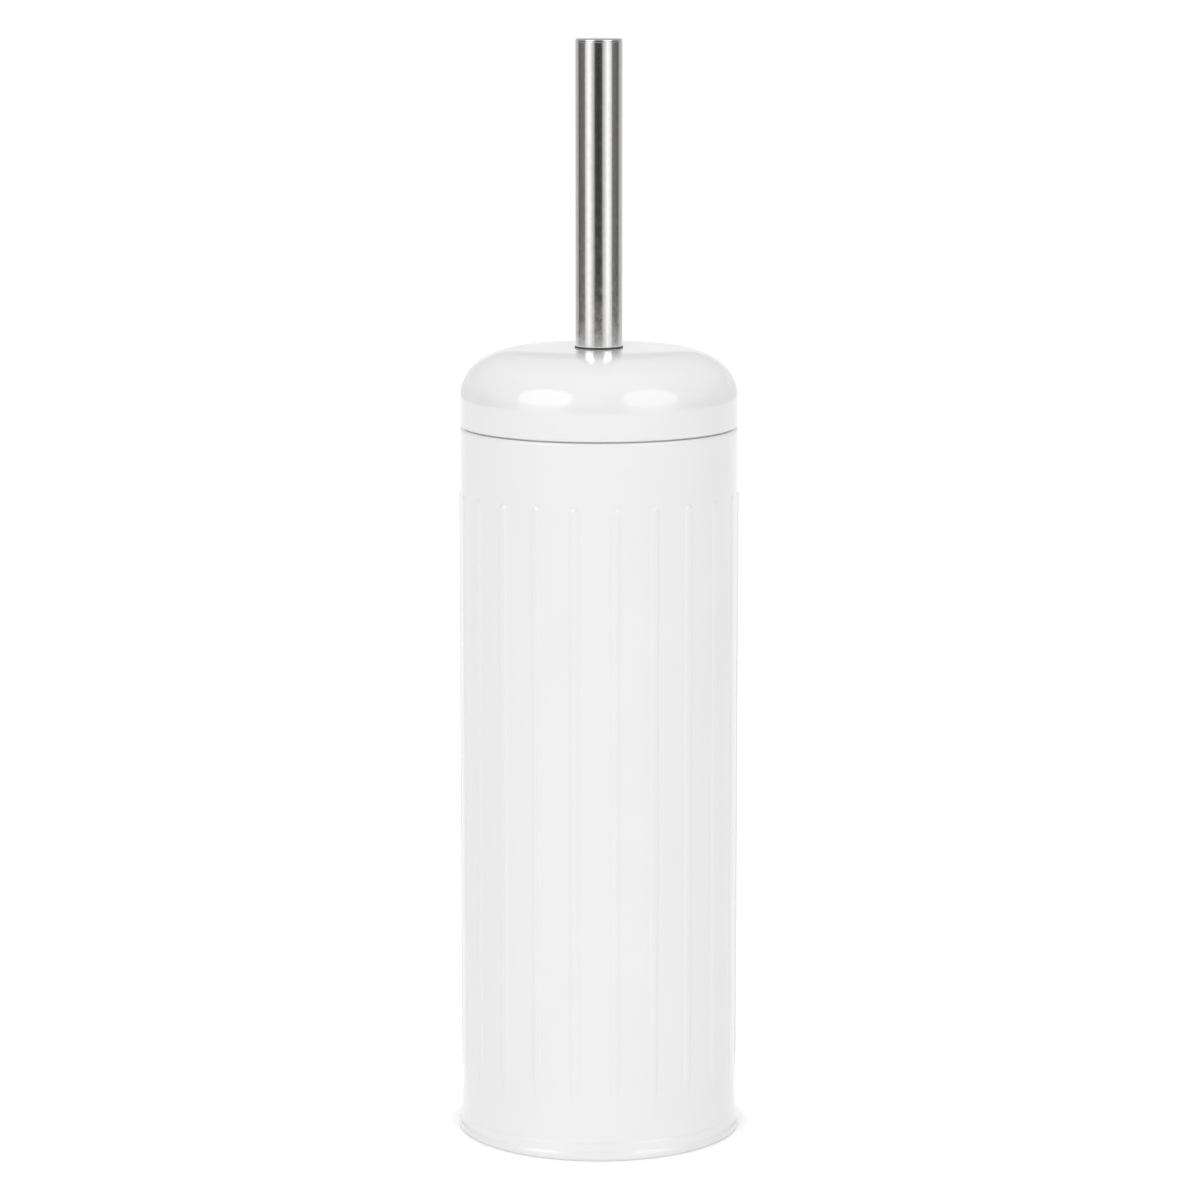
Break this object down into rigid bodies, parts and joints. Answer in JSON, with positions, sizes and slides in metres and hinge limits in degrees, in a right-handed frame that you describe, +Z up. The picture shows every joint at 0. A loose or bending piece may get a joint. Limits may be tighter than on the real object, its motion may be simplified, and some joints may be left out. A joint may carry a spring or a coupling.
{
  "type": "toilet brush holder",
  "caption": "Free-standing round metal canister with vertical beads and a drip cup, and a lift-out brush on a steel tube handle that carries the domed lid.",
  "frame": {"origin": "middle of the base, on the surface that the rolled rim stands on", "axes": "+Z up along the canister's axis; the front faces -Y and +X is to the right"},
  "size_m": [0.098, 0.098, 0.3775],
  "materials": {
    "white_enamel": "glossy white powder coat on sheet steel",
    "zinc_sheet": "zinc-plated sheet, dull",
    "cup_plastic": "moulded polypropylene, satin",
    "stainless": "satin stainless tube, polished along its length",
    "dark_nylon": "dark nylon, matt",
    "zinc_fastener": "bright zinc plate",
    "core_plastic": "moulded polypropylene, glossy",
    "bristle_nylon": "white nylon filaments in round tufts"
  },
  "bodies": {
    "canister": {"canister_body": "white_enamel", "base_disc": "zinc_sheet"},
    "liner": {"liner_cup": "cup_plastic"},
    "brush": {"lid_shell": "white_enamel", "handle_tube": "stainless", "handle_end_cap": "stainless", "handle_gasket": "dark_nylon", "handle_plug": "zinc_fastener", "lid_stud": "zinc_fastener", "lid_washer": "zinc_fastener", "lid_nut": "zinc_fastener", "stem_tube": "stainless", "stem_top_plug": "zinc_fastener", "stem_end_stud": "zinc_fastener", "brush_core": "core_plastic", "bristle_row_1": "bristle_nylon", "bristle_row_2": "bristle_nylon", "bristle_row_3": "bristle_nylon", "bristle_row_4": "bristle_nylon", "bristle_row_5": "bristle_nylon", "bristle_row_6": "bristle_nylon", "bristle_row_7": "bristle_nylon", "bristle_row_8": "bristle_nylon", "bristle_side_tufts": "bristle_nylon", "bristle_end_tufts": "bristle_nylon"}
  },
  "joints": [
    {"name": "liner_lift", "type": "slide", "parent": "canister", "child": "liner", "axis": [0, 0, 1], "range_m": [0, 0.255]},
    {"name": "brush_lift", "type": "slide", "parent": "liner", "child": "brush", "axis": [0, 0, 1], "range_m": [0, 0.255]}
  ]
}
